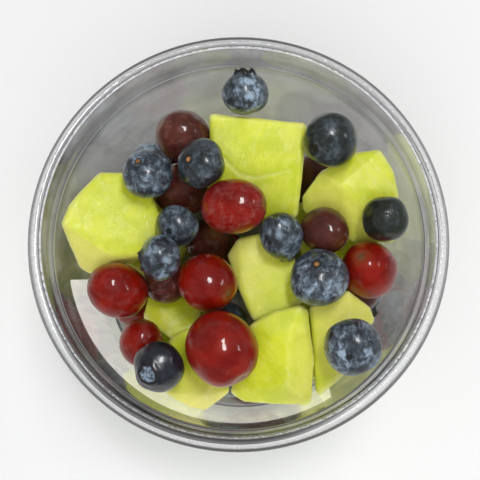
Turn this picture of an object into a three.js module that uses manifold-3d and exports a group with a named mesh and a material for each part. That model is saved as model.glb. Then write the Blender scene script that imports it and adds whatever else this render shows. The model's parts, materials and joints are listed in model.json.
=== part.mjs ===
// A clear round cup of cut fruit: melon chunks, red grapes and blueberries.
// Millimetres, +Z up, origin at the centre of the foot that the cup stands on.

import * as THREE from 'three';
import { mergeVertices } from 'three/addons/utils/BufferGeometryUtils.js';
import { ConvexGeometry } from 'three/addons/geometries/ConvexGeometry.js';
import Module from 'manifold-3d';

const manifold = await Module();
manifold.setup();

// Driving dimensions of the cup
const RIM_RADIUS = 59; // outer edge of the rolled rim
const RIM_TOP = 73.6;
const MOUTH_RADIUS = 54.8; // inner edge of the rim
const LEDGE_RADIUS = 52.8; // inside of the wall just under the ledge that seats a lid
const LEDGE_HEIGHT = 63.9;
const BASE_RADIUS = 44.9; // inside of the wall just above the base corner
const CORNER_HEIGHT = 4.2;
const FLOOR_RADIUS = 38;
const FLOOR_LIFT = 1; // the floor's underside stands clear of the table
const FOOT_RADIUS = 43; // outer edge of the flat foot ring
const FOOT_WIDTH = 3;
const WALL = 0.7;
const SEAT_STEP = 1.4; // the ledge steps out and up by this much
const RIM_ROUNDING = 1.6;
const RIM_FALL = 1.2; // the rim's top slopes down outwards by this much
const SKIRT_DROP = 4.2; // how far the rim's outer skirt hangs below its top
const SKIRT_WALL = 0.8;
const CUP_SIDES = 64;

// Driving dimensions of the label
const LABEL_MIDDLE = THREE.MathUtils.degToRad(-114.2); // direction that the label faces
const LABEL_HALF_LENGTH = 50.5; // along the wall
const LABEL_TOP = 50;
const LABEL_BOTTOM = 6;
const LABEL_RISE = 1; // a flat strip wrapped on a cone rises towards its ends
const LABEL_CORNER = 2.5;
const LABEL_THICKNESS = 0.3;

// Driving dimensions of the fruit
const GAP = 0.3; // clearance between touching pieces
const EDGE_ROUNDING = 1; // radius of a melon chunk's cut edges
const FRUIT_SIDES = 12; // round a grape or a blueberry
const FRUIT_RINGS = 8;
const START_HEIGHT = 100; // pieces are let down into the cup from here
const SETTLING_STEPS = [4, 1, 0.25, 0.05]; // each next one finer, down to contact
const SLIDE_DIRECTIONS = [0, 45, 90, 135, 180, 225, 270, 315].map((angle) => (
  new THREE.Vector3(1, 0, 0).applyAxisAngle(new THREE.Vector3(0, 0, 1), THREE.MathUtils.degToRad(angle))
));

const MATERIALS = {
  clearPlastic: { color: 0xe4e6e4, roughness: 0.08, metalness: 0, transparent: true, opacity: 0.35 },
  labelPaper: { color: 0xdfe3d9, roughness: 0.6, metalness: 0 },
  melonFlesh: { color: 0xd2dc48, roughness: 0.4, metalness: 0 },
  redGrape: { color: 0x7e1a14, roughness: 0.2, metalness: 0 },
  darkGrape: { color: 0x4c1a1a, roughness: 0.25, metalness: 0 },
  blueberry: { color: 0x3a4254, roughness: 0.5, metalness: 0 },
};

// ---------------------------------------------------------------- solids

// A closed geometry as a manifold solid, its shared vertices merged
function toSolid(geometry) {
  const bare = geometry.clone();
  bare.deleteAttribute('normal');
  bare.deleteAttribute('uv');
  const merged = mergeVertices(bare, 1e-4);
  return new manifold.Manifold(new manifold.Mesh({
    numProp: 3,
    vertProperties: new Float32Array(merged.attributes.position.array),
    triVerts: new Uint32Array(merged.index.array),
  }));
}

function toGeometry(solid) {
  const mesh = solid.getMesh();
  const geometry = new THREE.BufferGeometry();
  geometry.setAttribute('position', new THREE.BufferAttribute(mesh.vertProperties, 3));
  geometry.setIndex(new THREE.BufferAttribute(mesh.triVerts, 1));
  geometry.computeVertexNormals();
  return geometry;
}

// A profile of radius and height, turned about +Z
function turned(profile, sides) {
  return new THREE.LatheGeometry(profile, sides).rotateX(Math.PI / 2);
}

// Turns a shape whose own axis is +Z so that the axis points along the direction
function aimed(geometry, direction) {
  const axis = new THREE.Vector3(...direction).normalize();
  const turn = new THREE.Quaternion().setFromUnitVectors(new THREE.Vector3(0, 0, 1), axis);
  return geometry.applyQuaternion(turn);
}

// ------------------------------------------------------------------- cup

function insideRadius(height) {
  const slope = (LEDGE_RADIUS - BASE_RADIUS) / (LEDGE_HEIGHT - CORNER_HEIGHT);
  return BASE_RADIUS + (height - CORNER_HEIGHT) * slope;
}

function cup() {
  const footInside = FOOT_RADIUS - FOOT_WIDTH;
  const floorTop = FLOOR_LIFT + WALL;
  const outerBase = BASE_RADIUS + WALL;
  const seatRadius = LEDGE_RADIUS + SEAT_STEP;
  const seatHeight = LEDGE_HEIGHT + SEAT_STEP;
  const seatOutside = seatRadius + WALL;
  const mouthOutside = MOUTH_RADIUS + WALL;
  const rimUnderside = RIM_TOP - WALL;
  const skirtInside = RIM_RADIUS - SKIRT_WALL;
  const skirtFoot = RIM_TOP - SKIRT_DROP;
  const shoulderHeight = RIM_TOP - RIM_ROUNDING;
  const edgeHeight = RIM_TOP - RIM_FALL;
  const edgeUnderside = edgeHeight - WALL / 2;
  const slopeTop = edgeHeight + RIM_FALL * RIM_ROUNDING / (RIM_RADIUS - MOUTH_RADIUS - RIM_ROUNDING);
  const outline = new THREE.Path();
  // underside: raised floor, foot ring and rounded corner
  outline.moveTo(0, FLOOR_LIFT);
  outline.lineTo(FLOOR_RADIUS, FLOOR_LIFT);
  outline.quadraticCurveTo(footInside, FLOOR_LIFT, footInside, 0);
  outline.lineTo(FOOT_RADIUS, 0);
  outline.quadraticCurveTo(outerBase, 0, outerBase, CORNER_HEIGHT);
  // outside of the wall, the ledge and the band above it
  outline.lineTo(LEDGE_RADIUS + WALL, LEDGE_HEIGHT - WALL);
  outline.quadraticCurveTo(seatOutside, LEDGE_HEIGHT, seatOutside, seatHeight);
  outline.lineTo(mouthOutside, shoulderHeight - WALL);
  // under the rolled rim, then the skirt's inside, foot and outside
  outline.quadraticCurveTo(mouthOutside, rimUnderside, skirtInside - WALL, edgeUnderside);
  outline.lineTo(skirtInside, edgeUnderside - WALL);
  outline.lineTo(skirtInside, skirtFoot);
  outline.lineTo(RIM_RADIUS, skirtFoot);
  outline.lineTo(RIM_RADIUS, edgeHeight - RIM_ROUNDING);
  outline.quadraticCurveTo(RIM_RADIUS, edgeHeight, RIM_RADIUS - RIM_ROUNDING, slopeTop);
  // rim's top, mouth, seat, ledge and inside of the wall
  outline.lineTo(MOUTH_RADIUS + RIM_ROUNDING, RIM_TOP);
  outline.quadraticCurveTo(MOUTH_RADIUS, RIM_TOP, MOUTH_RADIUS, shoulderHeight);
  outline.lineTo(seatRadius, seatHeight);
  outline.quadraticCurveTo(seatRadius, LEDGE_HEIGHT, LEDGE_RADIUS, LEDGE_HEIGHT);
  outline.lineTo(BASE_RADIUS, CORNER_HEIGHT);
  outline.quadraticCurveTo(BASE_RADIUS, WALL, FOOT_RADIUS, WALL);
  outline.lineTo(footInside + WALL, WALL);
  outline.quadraticCurveTo(footInside + WALL, floorTop, FLOOR_RADIUS, floorTop);
  outline.lineTo(0, floorTop);
  const curveSteps = 2;
  return turned(outline.getPoints(curveSteps), CUP_SIDES);
}

// The label is a thin strip with round corners, wrapped round the wall
function label() {
  const cornerColumns = 3;
  const middleColumns = 24;
  const columns = middleColumns + 2 * cornerColumns;
  const rows = 2;
  const strip = new THREE.BoxGeometry(columns, 1, 1, columns, rows, 1);
  const side = LABEL_HALF_LENGTH - LABEL_CORNER;
  const points = strip.attributes.position;
  for (let i = 0; i < points.count; i += 1) {
    const column = Math.abs(points.getX(i));
    const past = Math.max(0, column - middleColumns / 2) / cornerColumns * Math.PI / 2;
    const along = side * Math.min(1, column / (middleColumns / 2)) + LABEL_CORNER * Math.sin(past);
    const inset = LABEL_CORNER * (1 - Math.cos(past));
    const rise = LABEL_RISE * (along / LABEL_HALF_LENGTH) ** 2;
    const low = LABEL_BOTTOM + rise + inset;
    const high = LABEL_TOP + rise - inset;
    const height = low + (high - low) * (points.getY(i) + 0.5);
    const radius = insideRadius(height) + WALL + GAP + LABEL_THICKNESS * (points.getZ(i) + 0.5);
    const angle = LABEL_MIDDLE + Math.sign(points.getX(i)) * along / radius;
    points.setXYZ(i, radius * Math.cos(angle), radius * Math.sin(angle), height);
  }
  return toGeometry(toSolid(strip));
}

// ----------------------------------------------------------------- fruit

// A hand-cut chunk: the hull of small balls at its corners. The upper corners are
// given; the foot repeats them lower down, drawn in towards the middle and shifted.
function chunk(name, upper, { depth, foot = 0.85, shift = [0, 0] }) {
  const middle = new THREE.Vector3();
  const corners = upper.map((corner) => new THREE.Vector3(...corner));
  corners.forEach((corner) => middle.addScaledVector(corner, 1 / corners.length));
  const lower = corners.map((corner) => new THREE.Vector3(
    middle.x + (corner.x - middle.x) * foot + shift[0],
    middle.y + (corner.y - middle.y) * foot + shift[1],
    middle.z + (corner.z - middle.z) * foot - depth,
  ));
  return { name, material: 'melonFlesh', geometry: roundedHull([...corners, ...lower]) };
}

// A chunk cut as a plain block with slightly uneven sides, turned and put at a plan place
function block(name, [x, y], [length, width, height], [turnX, turnY, turnZ], draw) {
  const unevenness = 0.07;
  const corners = [];
  for (const sx of [-1, 1]) {
    for (const sy of [-1, 1]) {
      for (const sz of [-1, 1]) {
        const uneven = () => 0.5 - unevenness * draw();
        corners.push(new THREE.Vector3(
          sx * length * uneven(),
          sy * width * uneven(),
          sz * height * uneven(),
        ));
      }
    }
  }
  const angles = [turnX, turnY, turnZ].map(THREE.MathUtils.degToRad);
  const geometry = roundedHull(corners);
  geometry.applyMatrix4(new THREE.Matrix4().makeRotationFromEuler(new THREE.Euler(...angles)));
  return { name, material: 'melonFlesh', geometry: geometry.translate(x, y, 0) };
}

// The hull of small balls that just fill the corners from inside
function roundedHull(corners) {
  const ball = new THREE.OctahedronGeometry(EDGE_ROUNDING, 0).attributes.position;
  const middle = new THREE.Vector3();
  corners.forEach((corner) => middle.addScaledVector(corner, 1 / corners.length));
  const points = [];
  for (const corner of corners) {
    const inward = middle.clone().sub(corner).setLength(EDGE_ROUNDING);
    for (let i = 0; i < ball.count; i += 1) {
      points.push(new THREE.Vector3().fromBufferAttribute(ball, i).add(corner).add(inward));
    }
  }
  return new ConvexGeometry(points);
}

// A grape: an egg-like body with a small dimple where its stem was
function grape(name, [x, y], [width, length], stem, material = 'redGrape') {
  const dimpleRadius = 1.6;
  const dimpleDepth = 0.6;
  const dimpleLip = 0.1;
  const bluntness = 0.03; // the end away from the stem is the fuller one
  const profile = [new THREE.Vector2(0, -length / 2)];
  for (let i = 1; i < FRUIT_RINGS; i += 1) {
    const angle = (i / FRUIT_RINGS) * Math.PI;
    profile.push(new THREE.Vector2(
      (width / 2) * Math.sin(angle) * (1 + bluntness * Math.cos(angle)),
      (-length / 2) * Math.cos(angle),
    ));
  }
  profile.push(new THREE.Vector2(dimpleRadius, length / 2 - dimpleLip));
  profile.push(new THREE.Vector2(0, length / 2 - dimpleDepth));
  const geometry = aimed(turned(profile, FRUIT_SIDES), stem);
  return { name, material, geometry: geometry.translate(x, y, 0) };
}

// A blueberry: a flattened ball with a raised crown round a shallow well
function berry(name, [x, y], [width, length], crown) {
  const crownRadius = 0.19 * width;
  const crownWall = 0.7;
  const crownTop = length / 2 + 0.1;
  const wellFloor = crownTop - 0.9;
  const profile = [new THREE.Vector2(0, -length / 2)];
  for (let i = 1; i < FRUIT_RINGS; i += 1) {
    const angle = (i / FRUIT_RINGS) * Math.PI;
    profile.push(new THREE.Vector2(
      (width / 2) * Math.sin(angle),
      (-length / 2) * Math.cos(angle),
    ));
  }
  profile.push(new THREE.Vector2(crownRadius, crownTop));
  profile.push(new THREE.Vector2(crownRadius - crownWall, wellFloor));
  profile.push(new THREE.Vector2(0, wellFloor));
  const geometry = aimed(turned(profile, FRUIT_SIDES), crown);
  return { name, material: 'blueberry', geometry: geometry.translate(x, y, 0) };
}

// The plan place at a distance and a direction from the cup's axis
function around(radius, degrees) {
  const angle = THREE.MathUtils.degToRad(degrees);
  return [radius * Math.cos(angle), radius * Math.sin(angle)];
}

// Repeatable draws between 0 and 1
function seededDraw(seed) {
  let state = seed;
  return () => {
    state = (state * 16807) % 2147483647;
    return state / 2147483647;
  };
}

const draw = seededDraw(41);

// Every piece in the order that it goes into the cup, at its place in plan. Buried pieces
// slide into the hollows that they find; pieces that show from above keep their places.
function layers() {
  const bottom = [];
  const bottomCount = 5;
  const firstBottom = 9;
  const varied = (middle, spread) => middle + spread * (draw() - 0.5);
  for (let i = 0; i < bottomCount; i += 1) {
    const angle = 21 + (360 / bottomCount) * i;
    const size = [25, 25, 26].map((length) => varied(length, 1.5));
    const turns = [varied(0, 6), varied(0, 6), varied(angle, 8)];
    bottom.push(block(`melon_${i + firstBottom}`, around(30.5, angle), size, turns, draw));
  }
  const crevices = [
    berry('blueberry_15', around(36, 57), [14.5, 13], [0.3, 0.2, 0.5]),
    grape('grape_15', around(36, 129), [16, 19], [1, -0.4, 0.3], 'darkGrape'),
    berry('blueberry_14', around(36, 201), [14, 12], [-0.3, 1, 0.4]),
    grape('grape_16', around(36, 273), [15.5, 18], [1, 0.1, 0.2], 'darkGrape'),
    grape('grape_17', around(36, 345), [15, 18], [0.2, 1, 0.6]),
    grape('grape_18', [0, 2], [18, 21], [0.6, 0.4, 0.3], 'darkGrape'),
    grape('grape_14', around(35.5, 57), [13.5, 16], [-0.7, 0.4, 0.3], 'darkGrape'),
    berry('blueberry_16', around(37, 129), [14, 12], [0.6, 0.5, 0.4]),
    grape('grape_19', around(36, 201), [13.5, 15.5], [1, 0.3, 0.2]),
    berry('blueberry_17', around(37, 273), [13.5, 11.5], [0.7, -0.3, 0.2]),
    berry('blueberry_18', around(37, 345), [14, 12], [0.4, -0.8, 0.3]),
  ];
  const deep = [
    grape('grape_20', [-18, 33.5], [13, 15.5], [0.5, 1, 0.2]),
    grape('grape_21', [-5, 3], [14, 16.5], [1, 0.6, 0.2]),
    grape('grape_22', [-35.5, -11.5], [13, 15], [0.2, -1, 0.2]),
    berry('blueberry_19', [-31, -27], [13.5, 12], [0.4, -0.8, 0.3]),
    berry('blueberry_4', [-27, 28.8], [14, 13], [0.3, -0.2, -0.9]),
    grape('grape_13', [37.5, -9.5], [13, 16], [0.3, 1, 0.1], 'darkGrape'),
    grape('grape_11', [23.5, 25.8], [13, 16], [0.1, 1, 0.3], 'darkGrape'),
    grape('grape_3', [-9.5, 3.4], [15, 17], [0.2, 0.1, 0.9], 'darkGrape'),
    grape('grape_2', [-18.5, 19], [16.4, 18.5], [0.3, 0.4, 0.8], 'darkGrape'),
    chunk('melon_7', [
      [-29.5, -19.5, 41], [-25.5, -16.5, 42], [-17, -15, 42], [-12, -19, 42],
      [-14, -23, 43], [-21.5, -25.5, 43], [-11, -4, 38], [-26, -4, 38],
    ], { depth: 10, foot: 0.8 }),
  ];
  const upper = [
    chunk('melon_4', [
      [-4, -0.5, 49], [-1, 3.5, 51], [5.5, 5, 51], [15.5, 0, 51],
      [18, -16.5, 52], [4, -21, 51], [0, -12, 51],
    ], { depth: 21, foot: 0.8, shift: [1, 1] }),
    chunk('melon_6', [
      [20.7, -17, 51], [32, -12.5, 54], [38, -17, 51], [39.5, -20.5, 50],
      [32.5, -20.5, 54], [29, -38, 52], [23, -43, 49],
    ], { depth: 21, foot: 0.8, shift: [-1, -2] }),
    chunk('melon_8', [
      [-20.5, -25.5, 46], [-11.5, -21.5, 48], [-4, -28, 49], [-9, -43.5, 48], [-3, -42, 44],
      [-10, -47, 44], [-15, -46, 45], [-21.5, -42.5, 45], [-22.5, -33, 46],
    ], { depth: 16, foot: 0.7 }),
    chunk('melon_5', [
      [18, -17, 57], [10, -18.7, 56], [3.5, -22, 55], [-2.5, -42, 48], [0.5, -44, 47],
      [14, -27.5, 57], [14, -40, 55], [19.5, -17.5, 55], [21.5, -33, 53],
      [20.5, -45.2, 49.3],
    ], { depth: 22, foot: 0.65 }),
    chunk('melon_3', [
      [18.6, 16.7, 48], [18.8, 12.4, 46], [20, 18, 50], [23.5, 22.5, 54], [34.5, 28, 56], [41.5, 28.5, 57],
      [45, 23, 56], [46.5, 15.5, 55], [45.5, 2, 51], [33.5, 2.5, 48], [29, 18, 57],
    ], { depth: 21, foot: 0.58, shift: [4, -2] }),
    chunk('melon_2', [
      [-8.5, 38.3, 59.5], [19.5, 35.3, 59.5], [18.5, 24, 57.4], [-8, 25, 57.4],
      [17, 8.5, 53], [-7.5, 9.5, 52],
    ], { depth: 25, foot: 0.8, shift: [-0.5, 0] }),
    chunk('melon_1', [
      [-51.6, 6, 62], [-49.4, 12.1, 61.2], [-46.5, 16.4, 60.2], [-41.7, 22, 58.5], [-34.5, 22.5, 57], [-26.5, 17.5, 55.5],
      [-23.5, 9.5, 54.5], [-24.5, -1, 54.5], [-37, -3.5, 57], [-44.5, -7, 51], [-47.5, -5.5, 52],
    ], { depth: 26, foot: 0.65, shift: [5, 1] }),
  ];
  const top = [
    grape('grape_1', [-16.5, 33.2], [15.8, 17.4], [-0.8, 0.3, 0.5], 'darkGrape'),
    grape('grape_12', [-22.6, -9.4], [13.5, 15], [-0.5, 0.2, 0.8], 'darkGrape'),
    grape('grape_7', [-34.9, -12.6], [16, 19], [-0.85, 0.32, 0.42]),
    grape('grape_8', [-29.6, -27.1], [13, 14.6], [0.1, 0.9, 0.4]),
    grape('grape_9', [25.9, 5], [13.8, 15.2], [0.65, -0.6, 0.47], 'darkGrape'),
    grape('grape_10', [38, -6.9], [16.8, 18.5], [-0.35, 0.29, 0.89]),
    berry('blueberry_13', [-3.7, -20.6], [12, 11], [0.2, 0.3, -0.9]),
    grape('grape_5', [-9.6, -10.7], [17.2, 18.5], [0.71, -0.42, 0.56]),
    grape('grape_4', [-0.8, 10.4], [16.2, 20], [0.94, 0.03, 0.33]),
    grape('grape_6', [-4.7, -30.4], [20.8, 22.5], [0.52, -0.8, 0.3]),
    berry('blueberry_5', [-18.7, 5.5], [12.8, 12], [0.3, 0.4, -0.8]),
    berry('blueberry_6', [-21.9, -3.9], [13.4, 11.5], [-0.97, -0.23, 0.08]),
    berry('blueberry_3', [-26.8, 19.7], [14.6, 14.2], [0.31, -0.35, -0.89]),
    berry('blueberry_2', [-11.1, 23.1], [14.9, 12], [0.59, -0.01, -0.8]),
    berry('blueberry_7', [12.6, 2.3], [12.6, 15.2], [0.22, -0.67, -0.71]),
    berry('blueberry_8', [23.5, -9.5], [17.3, 15], [0.16, -0.43, -0.89]),
    berry('blueberry_9', [26.2, 30.1], [16.3, 16.3], [0.08, 0.29, -0.95]),
    berry('blueberry_10', [42.2, 7.2], [13.6, 12.5], [-0.1, -0.3, 0.9]),
    berry('blueberry_11', [32.7, -30.3], [16.6, 15.6], [0.2, 0.4, -0.8]),
    berry('blueberry_12', [-23.4, -34.8], [15.2, 13.5], [-0.42, -0.4, 0.82]),
    berry('blueberry_1', [1.8, 43.8], [14, 13], [0.01, 0.89, 0.46]),
  ];
  return [
    { pieces: bottom, maxSlide: 1 },
    { pieces: crevices, maxSlide: 8 },
    { pieces: deep, maxSlide: 1 },
    { pieces: upper, maxSlide: 0.5 },
    { pieces: top, maxSlide: 0.6 },
  ];
}

// -------------------------------------------------------------- settling

// Lets a piece down until it rests on the cup or on pieces already inside. It goes
// straight down where it can, and slides sideways off slopes steeper than 1 in 2, but
// never further than maxSlide from its place in plan.
function settle(piece, resting, maxSlide) {
  piece.geometry.computeBoundingBox();
  const middle = piece.geometry.boundingBox.getCenter(new THREE.Vector3());
  const size = piece.geometry.boundingBox.getSize(new THREE.Vector3());
  const swollen = piece.geometry.clone();
  swollen.translate(-middle.x, -middle.y, -middle.z);
  swollen.scale(...size.toArray().map((length) => (length + 2 * GAP) / length));
  const probe = toSolid(swollen);

  const isFree = (place) => {
    const moved = probe.translate(place.toArray());
    const box = moved.boundingBox();
    return !resting.some((other) => (
      boxesMeet(box, other.box) && !moved.intersect(other.solid).isEmpty()
    ));
  };
  const lowerPlace = (place, step) => {
    const below = place.clone().setZ(place.z - step);
    if (isFree(below)) {
      return below;
    }
    for (const direction of SLIDE_DIRECTIONS) {
      const aside = place.clone().addScaledVector(direction, step).setZ(place.z - step / 2);
      const slid = Math.hypot(aside.x - middle.x, aside.y - middle.y);
      if (slid <= maxSlide && isFree(aside)) {
        return aside;
      }
    }
    return null;
  };

  let place = middle.clone().setZ(START_HEIGHT);
  for (const step of SETTLING_STEPS) {
    for (let next = place; next; next = lowerPlace(place, step)) {
      place = next;
    }
  }
  piece.geometry.translate(place.x - middle.x, place.y - middle.y, place.z - middle.z);
  const solid = toSolid(piece.geometry);
  return { solid, box: solid.boundingBox() };
}

function boxesMeet(a, b) {
  return [0, 1, 2].every((axis) => a.min[axis] < b.max[axis] && b.min[axis] < a.max[axis]);
}

// -------------------------------------------------------------- assembly

function node(name, geometry, materialName) {
  const mesh = new THREE.Mesh(geometry, new THREE.MeshStandardMaterial(MATERIALS[materialName]));
  mesh.name = name;
  return mesh;
}

const fruitCup = new THREE.Group();
const cupGeometry = cup();
const cupSolid = toSolid(cupGeometry);
fruitCup.add(node('cup', cupGeometry, 'clearPlastic'));
fruitCup.add(node('label', label(), 'labelPaper'));

const resting = [{ solid: cupSolid, box: cupSolid.boundingBox() }];
for (const { pieces, maxSlide } of layers()) {
  for (const piece of pieces) {
    resting.push(settle(piece, resting, maxSlide));
    fruitCup.add(node(piece.name, piece.geometry, piece.material));
  }
}

export default fruitCup;
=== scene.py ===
"""A clear cup of melon chunks, red grapes and blueberries, dressed around its solids."""

import json
import math

import bmesh
import bpy
import numpy as np
from mathutils import Matrix, Vector

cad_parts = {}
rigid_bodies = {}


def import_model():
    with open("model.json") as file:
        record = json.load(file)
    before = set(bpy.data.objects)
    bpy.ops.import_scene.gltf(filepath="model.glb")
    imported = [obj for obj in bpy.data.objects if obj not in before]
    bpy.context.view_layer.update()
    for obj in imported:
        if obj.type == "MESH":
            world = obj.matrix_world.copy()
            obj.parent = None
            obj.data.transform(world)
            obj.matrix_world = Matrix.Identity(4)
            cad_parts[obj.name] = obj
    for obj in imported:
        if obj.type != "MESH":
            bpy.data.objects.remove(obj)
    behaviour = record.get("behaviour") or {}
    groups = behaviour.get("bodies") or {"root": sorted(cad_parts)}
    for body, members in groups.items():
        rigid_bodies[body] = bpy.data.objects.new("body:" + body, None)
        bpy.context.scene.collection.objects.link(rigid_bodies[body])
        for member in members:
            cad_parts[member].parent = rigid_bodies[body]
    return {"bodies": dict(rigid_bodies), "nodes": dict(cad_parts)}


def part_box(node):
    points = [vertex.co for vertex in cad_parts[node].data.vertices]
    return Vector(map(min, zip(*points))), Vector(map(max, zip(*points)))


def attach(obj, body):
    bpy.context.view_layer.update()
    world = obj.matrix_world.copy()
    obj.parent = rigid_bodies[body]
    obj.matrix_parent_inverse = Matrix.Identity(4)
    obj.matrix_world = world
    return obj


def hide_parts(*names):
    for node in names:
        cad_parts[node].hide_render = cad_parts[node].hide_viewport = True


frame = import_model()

MM = 0.001
UP = np.array((0.0, 0.0, 1.0))


def clear_startup_objects():
    kept = set(frame["nodes"].values()) | set(frame["bodies"].values())
    for leftover in [o for o in bpy.data.objects if o not in kept]:
        bpy.data.objects.remove(leftover)


clear_startup_objects()
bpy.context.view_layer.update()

# Cup, in metres. Its outer sizes come from the frame.
cup_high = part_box("cup")[1]
RIM_RADIUS = cup_high.x
RIM_TOP = cup_high.z
MOUTH_RADIUS = 54.8 * MM
LEDGE_RADIUS = 52.8 * MM
LEDGE_HEIGHT = 63.9 * MM
BASE_RADIUS = 44.9 * MM
CORNER_HEIGHT = 4.2 * MM
FLOOR_RADIUS = 38 * MM
FLOOR_LIFT = 1 * MM
FOOT_RADIUS = 43 * MM
FOOT_INSIDE = 40 * MM
WALL = 0.7 * MM
SEAT_STEP = 1.4 * MM
LEDGE_ROUNDING = 0.6 * MM
RIM_ROUNDING = 1.6 * MM
RIM_FALL = 1.2 * MM  # the rim's top slopes down outwards by this much
RIM_GROOVE = 1.05 * MM  # from the mouth to the groove beside its lip
SKIRT_DROP = 4.2 * MM
SKIRT_WALL = 0.8 * MM
CUP_SIDES = 256
RIM_RIBS = 620  # fine ribs moulded round the rim's top
SHADED_SIDE = np.array((-0.26, -0.97, 0))  # painted shade: the rim and the wall above the label are darker on this side
DARKER_SIDE = (-0.9, 0.45, 0)  # painted shade: the wall's tint is darker on this side
# Painted shade on the ledge's tint, as a share of the darkest tint
LEDGE_SHADE = 0.57
RIM_LEAN = 0.0045  # share of the radius by which the rim's painted dark outline is wider at the back
BEND_STEPS = 8
FINE_STEPS = 12
WALL_STEPS = 16

# The plastic's colours, as Blender's linear values
CLEAR = (0.93, 0.93, 0.92, 1)
# The darkest tint, where the plastic's painted shade is full
SHADE_TINT = (0.03, 0.029, 0.028, 1)
# Milky colour of the frosted rim band and of the painted highlight lines
FROST_AND_HIGHLIGHT = (0.7, 0.71, 0.74, 1)
# Colour of the rim's painted dark outline and groove
RIM_SHADE_COLOUR = (0.03, 0.028, 0.026, 1)

# Label, in metres
LABEL_MIDDLE = math.radians(-114.2)
LABEL_HALF_LENGTH = 50.5 * MM  # along the wall
LABEL_TOP = 50 * MM
LABEL_BOTTOM = 6 * MM
LABEL_RISE = 1 * MM
LABEL_CORNER = 2.5 * MM
LABEL_THICKNESS = 0.3 * MM
LABEL_STANDOFF = 0.05 * MM
LABEL_GLUE_DEPTH = 0.15 * MM  # how far the stuck face lies in the plastic, so no air gap shows
LABEL_BAND = 0.3  # share of the label's height that is green
LABEL_BACK_GLOW = 1.15  # emission of the stuck face, which the lamps here leave too dark
LABEL_LIGHT_THROUGH = 0.35  # share of the paper that lets light through
LABEL_ROWS = 24
LABEL_COLUMNS = 81
LABEL_CORNER_COLUMNS = 9

# Camera
CAMERA_TARGET = Vector((0, 0, 71.5 * MM))
CAMERA_DISTANCE = 300 * MM
CAMERA_TILT = math.radians(10.5)  # off the vertical, towards the viewer
CAMERA_SWING = math.radians(5.35)
CAMERA_LENS = 80.5
CAMERA_SHIFT = (0.0045, -0.0056)

# Fruit
RIPPLE_WAVES = 28
SMOOTH_IN, SMOOTH_OUT = 0.5, -0.52  # drawing in and pushing out in turn keeps the size
SHOWN_MELONS = 8
FINE_VOXEL = 0.55 * MM
COARSE_VOXEL = 0.9 * MM

WALL_SLOPE = (LEDGE_RADIUS - BASE_RADIUS) / (LEDGE_HEIGHT - CORNER_HEIGHT)


def inside_radius(height):
    return BASE_RADIUS + (height - CORNER_HEIGHT) * WALL_SLOPE


SEAT_RADIUS = LEDGE_RADIUS + SEAT_STEP
EDGE_HEIGHT = RIM_TOP - RIM_FALL
SHOULDER = RIM_TOP - RIM_ROUNDING
BELOW_LEDGE = LEDGE_HEIGHT - LEDGE_ROUNDING
WALL_TOP_RADIUS = inside_radius(BELOW_LEDGE)


# ------------------------------------------------------------------ meshes

def make_piece(name, points, faces, material, nodes):
    """A new mesh object that rides on the one body and stands for the nodes."""
    mesh = bpy.data.meshes.new(name)
    mesh.from_pydata([tuple(p) for p in points], [], [tuple(f) for f in faces])
    mesh.validate()
    piece = bpy.data.objects.new(name, mesh)
    bpy.context.scene.collection.objects.link(piece)
    return dress(piece, material, nodes)


def dress(piece, material, nodes):
    piece.data.materials.clear()
    piece.data.materials.append(material)
    piece.data.polygons.foreach_set("use_smooth", [True] * len(piece.data.polygons))
    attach(piece, "root")
    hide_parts(*nodes)
    return piece


def paint(piece, name, values):
    """Stores one number for each vertex, for the materials to read."""
    layer = piece.data.attributes.new(name, "FLOAT", "POINT")
    layer.data.foreach_set("value", np.asarray(values, np.float32))


def paint_place(piece, places):
    """Stores where each vertex is in the fruit's own frame, for its grain to follow."""
    layer = piece.data.attributes.new("own", "FLOAT_VECTOR", "POINT")
    layer.data.foreach_set("vector", np.asarray(places, np.float32).ravel())


def vertex_vectors(mesh, kind):
    flat = np.empty(len(mesh.vertices) * 3, np.float64)
    mesh.vertices.foreach_get(kind, flat)
    return flat.reshape(-1, 3)


def points_of(mesh):
    return vertex_vectors(mesh, "co")


def normals_of(mesh):
    return vertex_vectors(mesh, "normal")


def set_points(mesh, points):
    mesh.vertices.foreach_set("co", np.asarray(points, np.float32).ravel())
    mesh.update()


def ripples(points, wavelength, seed):
    """A smooth random field of about unit size: a sum of plane waves."""
    rng = np.random.default_rng(seed)
    directions = rng.normal(size=(RIPPLE_WAVES, 3))
    directions /= np.linalg.norm(directions, axis=1, keepdims=True)
    lengths = wavelength * rng.uniform(0.7, 1.4, RIPPLE_WAVES)
    phases = rng.uniform(0, 2 * np.pi, RIPPLE_WAVES)
    turns = points @ (directions / lengths[:, None]).T
    return np.cos(2 * np.pi * turns + phases).sum(1) * math.sqrt(2 / RIPPLE_WAVES)


def smoothstep(low, high, value):
    t = np.clip((value - low) / (high - low), 0, 1)
    return t * t * (3 - 2 * t)


def unit(direction):
    direction = np.asarray(direction, float)
    return direction / np.linalg.norm(direction)


def spun(profile, sides):
    """Points and faces of a closed profile of radius and height, turned about +Z."""
    points = []
    rows = []
    for radius, height in profile:
        if radius == 0:
            rows.append([len(points)] * sides)
            points.append((0, 0, height))
            continue
        rows.append(list(range(len(points), len(points) + sides)))
        for i in range(sides):
            angle = 2 * math.pi * i / sides
            points.append((radius * math.cos(angle), radius * math.sin(angle), height))
    faces = []
    for low, high in zip(rows, rows[1:]):
        for i in range(sides):
            j = (i + 1) % sides
            corners = [low[i], low[j], high[j], high[i]]
            faces.append(list(dict.fromkeys(corners)))
    return points, faces


def bend(start, control, end, steps):
    """Points along a quadratic curve, without its start."""
    found = []
    for i in range(1, steps + 1):
        t = i / steps
        found.append(tuple(
            (1 - t) ** 2 * a + 2 * t * (1 - t) * b + t * t * c
            for a, b, c in zip(start, control, end)
        ))
    return found


def straight(start, end, steps):
    return bend(start, [(a + b) / 2 for a, b in zip(start, end)], end, steps)


# --------------------------------------------------------------- materials

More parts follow.
